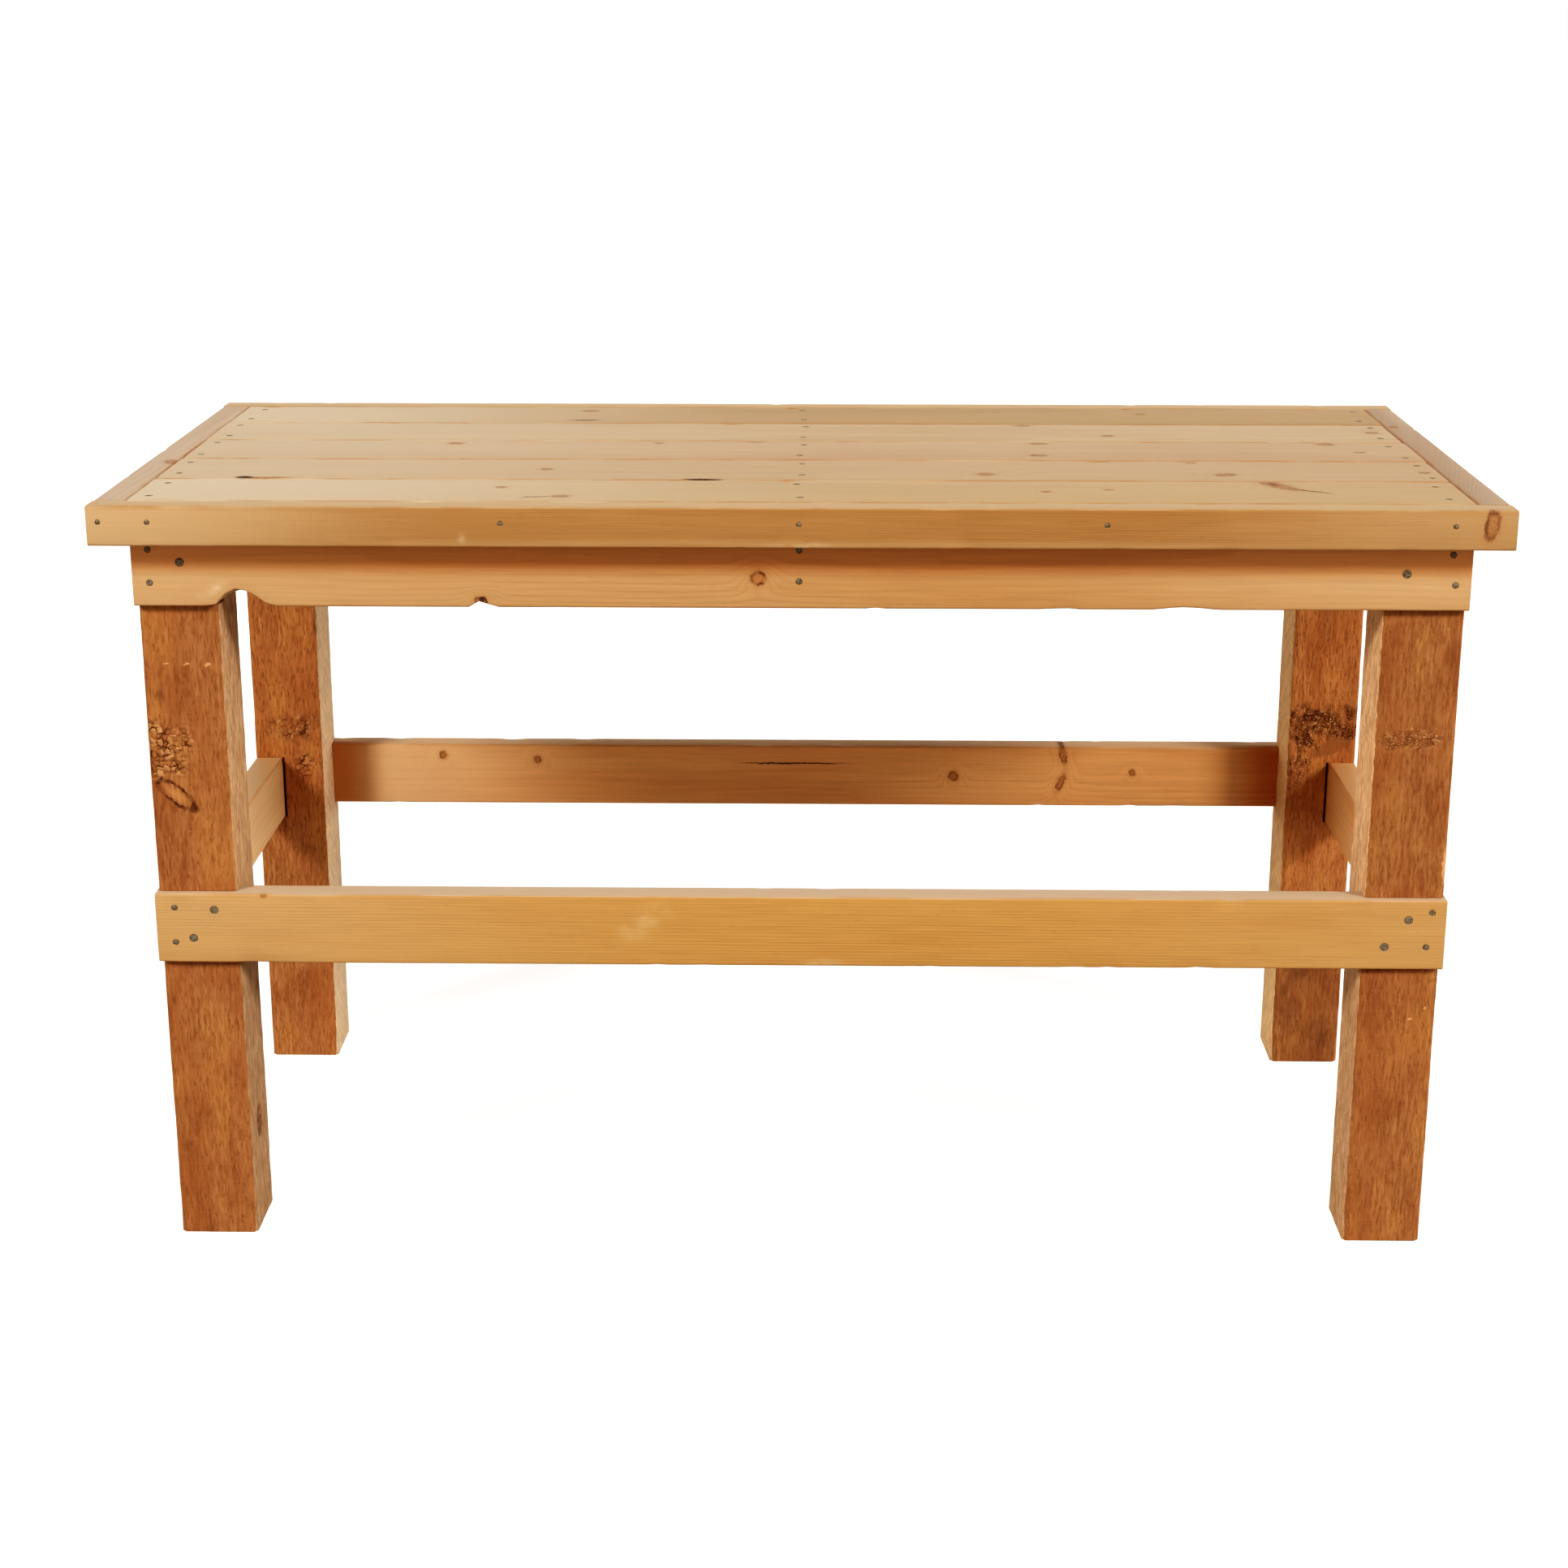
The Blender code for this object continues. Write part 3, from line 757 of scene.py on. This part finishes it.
def notch(obj, side, end):
    """Cuts the places of the long boards into a post, and a slot beside the side stretcher's end."""
    bm = bmesh.new()
    room = Vector((NOTCH_ROOM / 2,) * 3)
    for kind in ("apron", "stretcher"):
        low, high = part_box(f"{kind}_{side}")
        add_box(bm, low - room, high + room)
    low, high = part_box(f"stretcher_{end}")
    inner = (high.x, high.x + SLOT_WIDTH) if end == "left" else (low.x - SLOT_WIDTH, low.x)
    reach = (high.y, high.y + SLOT_DEPTH) if side == "rear" else (low.y - SLOT_DEPTH, low.y)
    add_box(bm, Vector((inner[0], reach[0], low.z)), Vector((inner[1], reach[1], high.z)))
    subtract(obj, mesh_of(bm, "notch_cutter"), "MANIFOLD")


def cad_nails(board):
    """Places and nodes of the solid model's nails in a board."""
    out = Vector((0, -1 if board.endswith(FRONT) else 1, 0))
    places, nodes = [], []
    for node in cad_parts:
        if node.startswith(board + "_nail_"):
            low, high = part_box(node)
            face = low.y if out.y < 0 else high.y
            point = Vector(((low.x + high.x) / 2, face + out.y * NAIL_SINK, (low.z + high.z) / 2))
            places.append((point, out, {"head": high.x - low.x, "length": high.y - low.y}))
            nodes.append(node)
    return places, nodes


# Looks of the planed boards. Colours are screen values of the bare wood, apart from the painted light and
# shade, and lengths are in metres. One setting is painted light on the ends: how much paler the left end is
# made and how far that reaches, then the same of the right end. Two tints are painted shade, of a shown
# face's upper part under the trim and of its ends by the posts, and the paler upper face of a board is a
# painted reflection.
NO_END_LIGHT = (0.0, 0.1, 0.0, 0.1)
WOOD = {
    "pale": (205, 177, 138), "late": (185, 149, 108), "blush": (198, 167, 131), "arris": (186, 132, 82),
    "end": (160, 112, 66), "scuff": (236, 220, 192), "halo": (182, 130, 80), "knot": (166, 112, 66),
    "knot_eye": (182, 132, 82), "knot_rim": (126, 76, 42), "stain": (78, 50, 40), "wash": (219, 201, 174),
    "sway": 0.014, "slope": 0.004, "pith": (0.03, -0.09), "ring": 0.0042, "line": (0.3, 0.84), "figure": 0.28,
    "blush_share": 0.6, "fibre": 0.06, "rough": 0.54, "knot_share": 0.62, "rim_share": 0.5,
    "scuff_share": 0.3, "stain_share": 0.95, "knot_depth": ENDLESS, "drift": (0.5, 0.85, 0.0, 0.1),
    "top_sheen": 0.0, "band": 0.0,
}
TRIM = {
    "pale": (172, 131, 85), "late": (140, 92, 45), "blush": (152, 105, 52), "arris": (171, 127, 77),
    "wash": (214, 186, 150), "drift": (0.56, 0.45, 0.28, 0.45), "top_sheen": 0.8, "band": 0.18,
    "ring": 0.0030, "line": (0.5, 0.9), "pith": (-0.30, 0.02), "sway": 0.008,
}
TRIM_KNOT = {
    "knot": (150, 102, 62), "knot_eye": (168, 120, 76), "knot_share": 0.6, "rim_share": 0.6,
    "knot_rim": (116, 70, 44), "stain": (108, 66, 42), "stain_share": 0.6, "knot_depth": 0.010,
}
LEFT_TRIM = {
    "pale": (206, 183, 158), "late": (177, 145, 115), "blush": (192, 164, 138), "slope": 0.06,
    "drift": NO_END_LIGHT,
}
RIGHT_TRIM = {
    "pale": (195, 171, 146), "late": (163, 130, 101), "blush": (182, 151, 124), "slope": 0.22, "ring": 0.0028,
    "drift": NO_END_LIGHT,
}
APRON = {
    "pale": (192, 152, 109), "late": (166, 118, 75), "blush": (183, 137, 89), "arris": (184, 139, 92),
    "ring": 0.0036, "line": (0.4, 0.88), "wash": (210, 178, 140), "drift": (0.4, 0.6, 0.4, 0.6),
}
APRON_SHADE = {"painted_bounce": (1.22, 0.96, 0.76), "painted_bounce_reach": (-0.010, 0.010)}  # painted shade and bounce light: warmer where the trim's shadow falls, for the light that the trim throws back
STRETCHER = {
    "pale": (190, 147, 91), "late": (156, 102, 47), "blush": (178, 128, 67), "arris": (189, 144, 88),
    "wash": (207, 184, 158), "drift": (0.24, 0.7, 0.16, 0.5), "top_sheen": 0.97,
    "ring": 0.0040, "line": (0.55, 0.92), "pith": (-0.26, 0.01), "sway": 0.006, "figure": 0.38,
}
# Painted light: the rear stretcher paler than the front one, against the shade of the top over it
REAR_STRETCHER = {
    "pale": (226, 174, 122), "late": (191, 132, 82), "blush": (210, 150, 97), "arris": (214, 161, 110),
    "wash": (236, 204, 166), "drift": (0.75, 0.55, 0.0, 0.1), "top_sheen": 0.8,
    # painted shade: the ends darker and redder, where the posts shade them
    "end_shade": (0.78, 0.53, 0.36), "end_shade_reach": (0.61, 0.675),
}
# Painted light: the side stretchers paler than the front one, against the shade of the top over them
CROSS = {
    "pale": (227, 176, 124), "late": (199, 143, 90), "blush": (217, 161, 107), "arris": (218, 164, 112),
    "wash": (238, 200, 158), "drift": NO_END_LIGHT, "top_sheen": 0.6,
}
LEFT_CROSS = {
    "pale": (220, 184, 144), "late": (198, 154, 110), "blush": (210, 172, 130), "wash": (224, 194, 156),
}


def wood_look(*changes, **more):
    look = dict(WOOD)
    for change in changes:
        look.update(change)
    return {**look, **more}


BOARDS = {
    "plank_1": ("flat", "plank", wood_look(
        pith=(0.05, -0.08), drift=(0.9, 0.95, 0.0, 0.1), stain=(132, 80, 48),
    ), {
        "knots": [
            (-0.281, -0.037, 0.009, 0.007, 10), (-0.357, 0.019, 0.006, 0.005, 0),
            (0.291, 0.001, 0.005, 0.005, 0), (0.367, 0.015, 0.005, 0.004, 0),
            (0.573, 0.044, 0.030, 0.011, -61),
        ],
        "stains": [
            (-0.309, -0.041, 0.020, 0.0022, 8), (0.606, 0.010, 0.030, 0.003, -32),
            (0.568, 0.052, 0.012, 0.004, -61),
        ],
    }),
    "plank_2": ("flat", "plank", wood_look(pale=(204, 176, 143), pith=(-0.02, -0.07)), {
        "knots": [
            (-0.648, -0.063, 0.022, 0.004, 4), (-0.315, 0.0, 0.007, 0.006, 0),
            (0.226, -0.026, 0.010, 0.008, 0), (0.520, -0.025, 0.011, 0.008, 15),
            (0.488, 0.059, 0.005, 0.005, 0), (0.766, -0.006, 0.006, 0.006, 0),
        ],
        "stains": [(-0.119, -0.066, 0.026, 0.005, 0), (-0.678, -0.061, 0.012, 0.008, 0)],
    }),
    "plank_3": ("flat", "plank", wood_look(pale=(205, 177, 145), blush=(196, 162, 130), pith=(0.01, -0.12)), {
        "knots": [
            (-0.452, 0.047, 0.009, 0.007, 0), (-0.187, 0.052, 0.005, 0.005, 0),
            (-0.059, 0.064, 0.010, 0.004, 0), (0.307, 0.058, 0.010, 0.008, 0),
            (0.301, -0.032, 0.009, 0.007, 0), (0.680, 0.058, 0.010, 0.008, 0),
            (0.713, -0.004, 0.006, 0.005, 0),
        ],
    }),
    "plank_4": ("flat", "plank", wood_look(pale=(207, 182, 150), pith=(-0.04, -0.10)), {
        "knots": [
            (0.295, 0.060, 0.009, 0.007, 0), (0.403, -0.022, 0.008, 0.006, 20),
            (0.758, 0.008, 0.008, 0.007, 0),
        ],
    }),
    "plank_5": ("flat", "plank", wood_look(
        pale=(192, 161, 123), blush=(181, 148, 109), pith=(0.02, -0.06), drift=(0.85, 0.8, 0.0, 0.1),
    ), {
        "knots": [(0.466, 0.019, 0.006, 0.005, 0), (-0.30, 0.036, 0.010, 0.006, 0)],
        "stains": [(-0.302, -0.046, 0.026, 0.0035, 3)],
    }),
    "trim_front": ("long", "trim", wood_look(TRIM, TRIM_KNOT), {
        "knots": [(0.795, 0.007, 0.0075, 0.0165, -8)],
        "stains": [(0.7885, 0.006, 0.0022, 0.0130, -8), (0.7950, 0.0205, 0.0060, 0.0026, 0)],
        "scuffs": [(-0.389, -0.014, 0.006, 0.010, 0), (0.005, -0.020, 0.050, 0.005, 0)],
    }),
    "trim_rear": ("long", "trim", wood_look(TRIM), {"knots": [(-0.415, 0.006, 0.008, 0.007, 0)]}),
    "trim_left": ("cap", "trim", wood_look(LEFT_TRIM), {"knots": [(-0.095, -0.012, 0.012, 0.007, 10)]}),
    "trim_right": ("cap", "trim", wood_look(RIGHT_TRIM), {"knots": [(0.199, 0.008, 0.007, 0.006, 0)]}),
    "apron_front": ("long", "apron", wood_look(
        APRON, APRON_SHADE, knot_share=0.75, rim_share=0.95, knot_rim=(104, 58, 32), scuff_share=0.6,
    ), {
        "knots": [(-0.048, -0.008, 0.008, 0.0075, 0), (-0.374, -0.0365, 0.007, 0.005, 0)],
        "scuffs": [(-0.690, -0.023, 0.024, 0.008, 25)],
        "stains": [(-0.3735, -0.0345, 0.0045, 0.0030, 0)],
    }),
    "apron_rear": ("long", "apron", wood_look(APRON), {
        "knots": [(0.327, 0.016, 0.011, 0.009, 0), (-0.505, -0.02, 0.007, 0.006, 0)],
    }),
    "stretcher_front": ("long", "stretcher", wood_look(
        STRETCHER, knot_depth=0.005, knot=(128, 70, 44), scuff_share=0.2,
    ), {
        "knots": [(-0.652, 0.0425, 0.0035, 0.0022, 0)],
        "scuffs": [(-0.191, 0.0085, 0.045, 0.024, 35), (0.02, -0.04, 0.05, 0.008, 0)],
    }),
    "stretcher_rear": ("long", "stretcher", wood_look(REAR_STRETCHER, knot_share=0.8, rim_share=0.7), {
        "knots": [
            (-0.525, 0.0285, 0.005, 0.005, 0), (-0.388, 0.0225, 0.005, 0.005, 0),
            (0.217, 0.0, 0.006, 0.0065, 0), (0.375, 0.0335, 0.0045, 0.013, 12),
            (0.373, -0.008, 0.0045, 0.013, -22), (0.476, 0.0065, 0.004, 0.004, 0),
        ],
        "stains": [(-0.016, 0.0185, 0.078, 0.0013, 0)],
    }),
    "stretcher_left": ("cross", "stretcher", wood_look(CROSS, LEFT_CROSS), {}),
    "stretcher_right": ("cross", "stretcher", wood_look(CROSS), {}),
    "end_rail_left": ("cross", "hidden_frame", wood_look(APRON), {"knots": [(0.12, 0.01, 0.009, 0.008, 0)]}),
    "end_rail_right": ("cross", "hidden_frame", wood_look(APRON), {
        "knots": [(-0.08, -0.015, 0.008, 0.007, 0)],
    }),
    "joist_middle": ("cross", "hidden_frame", wood_look(APRON), {"knots": [(0.2, 0.02, 0.010, 0.008, 0)]}),
}

# Looks of the posts. Gold and umber are tints. A gain is painted light and shade, the front or a side made
# brighter or darker with height: (height, height, value below the first, value above the second), with
# heights from the post's middle.
POST = {
    "light": (173, 125, 87), "shade": (151, 103, 66), "warm": (165, 113, 72), "dash": (116, 75, 46),
    "side_light": (227, 191, 155), "side_shade": (185, 144, 105), "side_warm": (209, 166, 126),
    "outer_light": (192, 146, 106), "outer_shade": (166, 119, 80),
    "gold": (1.12, 1.18, 1.12), "umber": (0.88, 0.83, 0.80),
    "fleck": (214, 166, 120), "dark_mark": (92, 58, 39), "scar": (202, 150, 98), "torn": (104, 64, 40),
    "crease": (74, 40, 24), "chips": 145.0, "front_painted_light": (-0.2, 0.1, 1.0, 1.03),
}
# Painted light: the inner sides of the rear posts made very pale, brighter than the shade there lets them be
RIGHT_LIT = {"side_light": (250, 224, 192), "side_shade": (238, 206, 170), "side_warm": (244, 212, 178)}
LEFT_LIT = {"side_light": (253, 220, 174), "side_shade": (234, 190, 142), "side_warm": (246, 206, 158)}

# Torn knots of the posts: face, height above the floor, place over the face, half height, half width, relief,
# darkness. Marks on the front: height above the floor, place over the face, half length, half width, angle
# from upright.
FRONT, REAR, LEFT, RIGHT = "front", "rear", "left", "right"
POSTS = {
    "post_front_left": ({**POST, "side_painted_light": (-0.2, 0.2, 0.62, 0.82)}, [
        (FRONT, 0.635, 0.026, 0.038, 0.032, 1.0, 0.0), (RIGHT, 0.132, 0.0, 0.024, 0.012, 0.5, 0.8),
        (LEFT, 0.52, 0.01, 0.03, 0.02, 0.8, 0.3),
    ], {
        "ovals": [(0.581, 0.018, 0.028, 0.010, 50)], "dark_marks": [(0.706, 0.031, 0.014, 0.008, 0)],
        "nicks": [
            (0.744, 0.020, 0.0015, 0.004, 0), (0.744, -0.004, 0.0015, 0.005, 0),
            (0.743, -0.030, 0.002, 0.005, 0),
        ],
    }),
    "post_front_right": ({
        **POST, "front_painted_light": (-0.2, 0.1, 0.99, 0.97), "side_painted_light": (-0.2, 0.2, 0.95, 1.3), "chips": 260.0,
    }, [
        (FRONT, 0.658, -0.003, 0.014, 0.050, 0.55, 0.08), (RIGHT, 0.34, -0.01, 0.03, 0.02, 0.8, 0.3),
    ], {
        "nicks": [
            (0.315, -0.034, 0.002, 0.002, 0), (0.300, -0.017, 0.002, 0.003, 0),
            (0.500, -0.0455, 0.026, 0.0024, 0),
        ],
    }),
    "post_rear_left": ({
        **POST, **RIGHT_LIT, "front_painted_light": (-0.22, -0.02, 1.1, 1.45), "side_painted_light": (-0.3, 0.0, 0.72, 1.0),
    }, [
        (FRONT, 0.504, -0.009, 0.018, 0.042, 0.8, 0.12), (FRONT, 0.494, -0.020, 0.011, 0.011, 1.0, 0.8),
        (FRONT, 0.446, -0.024, 0.022, 0.017, 0.9, 0.12), (REAR, 0.66, 0.01, 0.04, 0.03, 0.9, 0.3),
    ], {"dark_marks": [(0.655, -0.046, 0.020, 0.003, 0)]}),
    "post_rear_right": ({
        **POST, **LEFT_LIT, "front_painted_light": (-0.30, -0.10, 0.88, 1.48), "side_painted_light": (-0.3, 0.0, 0.82, 1.0),
        "chips": 260.0, "scar": (166, 118, 78),
    }, [
        (FRONT, 0.516, 0.002, 0.028, 0.060, 1.0, 0.42), (FRONT, 0.498, 0.030, 0.030, 0.024, 1.0, 0.35),
        (FRONT, 0.447, 0.030, 0.030, 0.018, 0.8, 0.12), (REAR, 0.24, -0.012, 0.035, 0.028, 0.9, 0.3),
    ], {
        "scars": [(0.481, -0.013, 0.034, 0.011, 115)],
        "dark_marks": [
            (0.085, 0.026, 0.052, 0.020, 25), (0.150, 0.004, 0.040, 0.026, -30),
            (0.05, -0.020, 0.03, 0.018, 20),
        ],
        "nicks": [
            (0.517, -0.010, 0.002, 0.006, 0), (0.514, 0.006, 0.002, 0.005, 0),
            (0.521, -0.022, 0.002, 0.004, 0),
        ],
    }),
}
POST_FACES = {
    FRONT: Vector((0, 0, 1)), REAR: Vector((0, 0, -1)), LEFT: Vector((0, 1, 0)), RIGHT: Vector((0, -1, 0)),
}


def make_boards():
    made = {}
    random.seed(END_SEED)
    for seed, (node, (lay, slot, look, spots)) in enumerate(BOARDS.items(), 1):
        place, size = lay_frame(node, lay)
        carve = scooped(size) if node == "apron_front" else None
        ends = [random.uniform(*END_CUT) for _ in range(2)] if slot == "plank" else (0.0, 0.0)
        style = {**PLANED, "radius": PLANK_RADIUS} if slot == "plank" else PLANED
        mesh = lumber_mesh(node + "_wood", size, style, planed_shape(seed, size, carve, ends))
        finish = softwood(node + "_wood", look, size, seed, **spots)
        made[node] = add_piece(node + "_wood", mesh, place, finish, slot, [node])
    return made


def make_posts():
    for seed, (node, (look, knots, marks)) in enumerate(POSTS.items(), 1):
        place, size = lay_frame(node, "post")
        floor = -size[0] / 2
        patches = [(POST_FACES[face], floor + height, *rest) for face, height, *rest in knots]
        spots = {
            kind: [(floor + height, *rest) for height, *rest in places] for kind, places in marks.items()
        }
        mesh = lumber_mesh(node + "_wood", size, SAWN, sawn_shape(seed, size, patches))
        inner = -1 if node.endswith(LEFT) else 1
        finish = sawn_wood(node + "_wood", look, size, seed, inner, **spots)
        notch(add_piece(node + "_wood", mesh, place, finish, "post", [node]), *node.split("_")[1:])


def trim_nails():
    """Nails of the rear and side trims, which the solid model leaves out: trim and places."""
    front, _ = cad_nails("trim_front")
    _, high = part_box("trim_rear")
    yield "trim_rear", [(Vector((-p.x, high.y, p.z)), Vector((0, 1, 0)), TRIM_NAIL) for p, _, _ in front]
    for side, sign in (("left", -1), ("right", 1)):
        low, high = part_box(f"trim_{side}")
        face = low.x if sign < 0 else high.x
        height = front[0][0].z
        out = Vector((sign, 0, 0))
        yield f"trim_{side}", [(Vector((face, y, height)), out, TRIM_NAIL) for y in SIDE_TRIM_NAILS]


def make_nails(boards):
    steel = nail_steel()
    groups = [(board, *cad_nails(board)) for board in CAD_NAILED]
    groups += [(board, places, ()) for board, places in trim_nails()]
    for board, places, nodes in groups:
        mesh = ring_mesh(board + "_nails", places, nail_profile)
        add_piece(board + "_nails", mesh, Matrix(), steel, "nail", nodes)
        recess(boards[board], places)
    random.seed(TOP_NAIL_SEED)
    up = Vector((0, 0, 1))
    everything = []
    beams = ("end_rail_left", "joist_middle", "end_rail_right")
    rows = [sum(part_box(node), Vector()).x / 2 for node in beams]
    for number in range(1, 6):
        low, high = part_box(f"plank_{number}")
        places = []
        for row in rows:
            for share in TOP_NAIL_SHARES:
                x = row + random.uniform(-1, 1) * TOP_NAIL_JITTER
                y = low.y + share * (high.y - low.y) + random.uniform(-1, 1) * TOP_NAIL_JITTER
                places.append((Vector((x, y, high.z)), up, TOP_NAIL))
        recess(boards[f"plank_{number}"], places)
        everything += places
    add_piece("top_nails", ring_mesh("top_nails", everything, nail_profile), Matrix(), steel, "nail")


def make_stage():
    bm = bmesh.new()
    bmesh.ops.create_circle(bm, cap_ends=True, segments=FLOOR_SIDES, radius=FLOOR_RADIUS)
    floor = new_object("floor", mesh_of(bm, "floor"))
    made, graph, shader = new_material("floor")
    shader.inputs["Base Color"].default_value = colour(FLOOR_COLOUR)
    shader.inputs["Roughness"].default_value = FLOOR_ROUGHNESS
    shader.inputs["Emission Color"].default_value = WHITE
    seen = graph.add("LightPath").outputs["Is Camera Ray"]
    graph.plug(shader.inputs["Emission Strength"], graph.times(seen, FLOOR_GLOW))
    floor.data.materials.append(made)


def make_keys():
    for right, up, strength in KEYS:
        lamp = bpy.data.lights.new("key", "SUN")
        lamp.angle = math.radians(KEY_ANGLE)
        lamp.energy = strength
        azimuth, elevation = math.radians(right), math.radians(up)
        flat = Vector((math.sin(azimuth), -math.cos(azimuth), 0.0)) * math.cos(elevation)
        away = flat + Vector((0.0, 0.0, math.sin(elevation)))
        new_object("key", lamp).rotation_euler = away.to_track_quat("Z", "Y").to_euler()


def make_world():
    world = bpy.data.worlds.new("studio")
    world.use_nodes = True
    graph = Graph(world.node_tree)
    _, y, z = graph.split(graph.add("TexCoord").outputs["Generated"])
    walls = graph.ramp(z, *WALL_TOP, WALL_STRENGTH, FILL_STRENGTH)
    backdrop = graph.times(graph.ramp(y, *BACKDROP_SIDE), graph.ramp(z, *BACKDROP_TOP, 1.0, 0.0))
    light = graph.ramp(backdrop, 0.0, 1.0, walls, BACKDROP_STRENGTH)
    seen = graph.add("LightPath").outputs["Is Camera Ray"]
    sky = world.node_tree.nodes["Background"]
    graph.plug(sky.inputs["Strength"], graph.ramp(seen, 0.0, 1.0, light, BACKGROUND))
    tint = graph.mix(backdrop, colour(WALL_COLOUR), WHITE)
    graph.plug(sky.inputs["Color"], graph.mix(seen, tint, WHITE))
    bpy.context.scene.world = world


def make_camera():
    lens = bpy.data.cameras.new("camera")
    lens.lens = CAMERA_LENS
    lens.sensor_width = SENSOR_WIDTH
    camera = new_object("camera", lens)
    camera.location = CAMERA_PLACE
    camera.rotation_euler = (math.radians(90 - CAMERA_PITCH), 0.0, math.radians(CAMERA_YAW))
    bpy.context.scene.camera = camera


def set_tones():
    view = bpy.context.scene.view_settings
    view.view_transform = "Standard"
    view.use_curve_mapping = True
    points = view.curve_mapping.curves[COMBINED_CURVE].points
    for place in TONE_CURVE:
        points.new(*place)
    view.curve_mapping.update()


make_nails(make_boards())
make_posts()
make_stage()
make_keys()
make_world()
make_camera()
set_tones()
